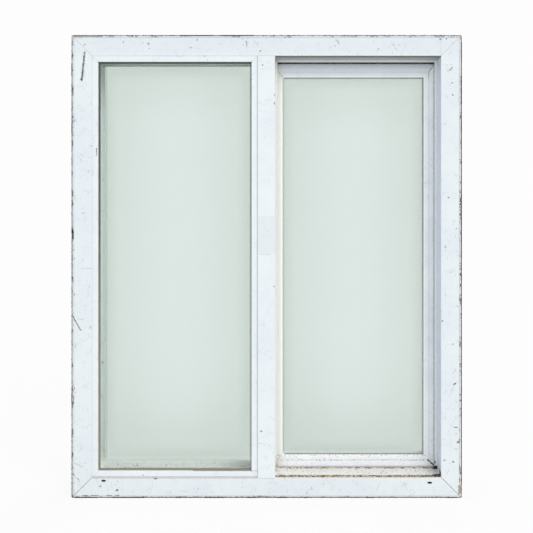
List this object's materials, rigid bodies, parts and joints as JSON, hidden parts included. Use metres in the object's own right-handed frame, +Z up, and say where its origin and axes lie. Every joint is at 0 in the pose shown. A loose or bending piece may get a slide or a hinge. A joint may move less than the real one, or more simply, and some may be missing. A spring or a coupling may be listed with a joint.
{
  "type": "sliding window",
  "caption": "Single-slider window in a mitred metal frame: a fixed glass unit beside a sash on rollers that slides behind it, with a crescent latch.",
  "frame": {"origin": "middle of the sill's underside, halfway through the depth of the frame", "axes": "+X to the right seen from outside, +Y from the outside to the room, +Z up"},
  "size_m": [0.9, 0.0941, 1.067],
  "materials": {
    "white_paint": "satin",
    "bare_metal": "satin",
    "pale_plastic": "matte",
    "glass": "gloss",
    "rubber": "matte",
    "pile": "matte"
  },
  "bodies": {
    "frame": {"frame_head": "white_paint", "frame_sill": "white_paint", "frame_jamb_left": "white_paint", "frame_jamb_right": "white_paint", "mullion": "white_paint", "fixed_bead_bottom": "white_paint", "fixed_bead_right": "white_paint", "fixed_bead_top": "white_paint", "fixed_bead_left": "white_paint", "fixed_stop": "white_paint", "frame_corner_keys": "bare_metal", "mullion_end_blocks": "bare_metal", "mullion_screws": "bare_metal", "fixed_spacer": "bare_metal", "sill_track": "bare_metal", "head_guide": "bare_metal", "latch_keeper": "bare_metal", "keeper_screws": "bare_metal", "mullion_interlock": "pale_plastic", "fixed_glass_outer": "glass", "fixed_glass_inner": "glass", "fixed_gasket": "rubber", "fixed_rear_tape": "rubber", "fixed_setting_blocks": "rubber", "close_pads": "rubber", "open_stops": "rubber", "head_pile": "pile", "sill_pile": "pile", "jamb_pile": "pile", "mullion_pile": "pile", "rear_pile": "pile"},
    "sash": {"sash_bottom_rail": "white_paint", "sash_stile_lock": "white_paint", "sash_top_rail": "white_paint", "sash_stile_meeting": "white_paint", "sash_bead_bottom": "white_paint", "sash_bead_right": "white_paint", "sash_bead_top": "white_paint", "sash_bead_left": "white_paint", "sash_corner_angles": "bare_metal", "sash_spacer": "bare_metal", "roller_axles": "bare_metal", "latch_base": "bare_metal", "latch_pin": "bare_metal", "latch_screws": "bare_metal", "sash_interlock": "pale_plastic", "sash_guides": "pale_plastic", "roller_housings": "pale_plastic", "sash_glass_outer": "glass", "sash_glass_inner": "glass", "sash_gasket": "rubber", "sash_rear_tape": "rubber", "sash_setting_blocks": "rubber"},
    "roller_left": {"roller_wheel_left": "pale_plastic"},
    "roller_right": {"roller_wheel_right": "pale_plastic"},
    "latch": {"latch_cam": "bare_metal"}
  },
  "joints": [
    {"name": "sash_slide", "type": "slide", "parent": "frame", "child": "sash", "axis": [-1, 0, 0], "range_m": [0, 0.385]},
    {"name": "roller_left_spin", "type": "hinge", "parent": "sash", "child": "roller_left", "pos_m": [0.0922, 0.018, 0.0533], "axis": [0, 1, 0], "continuous": true},
    {"name": "roller_right_spin", "type": "hinge", "parent": "sash", "child": "roller_right", "pos_m": [0.3149, 0.018, 0.0533], "axis": [0, 1, 0], "continuous": true},
    {"name": "latch_turn", "type": "hinge", "parent": "sash", "child": "latch", "pos_m": [0.3865, 0.049, 0.52], "axis": [0, 1, 0], "range_deg": [0, 68]}
  ],
  "couplings": [
    {"joint": "roller_left_spin", "follows": "sash_slide", "rad_per_m": -111.11},
    {"joint": "roller_right_spin", "follows": "sash_slide", "rad_per_m": -111.11}
  ]
}
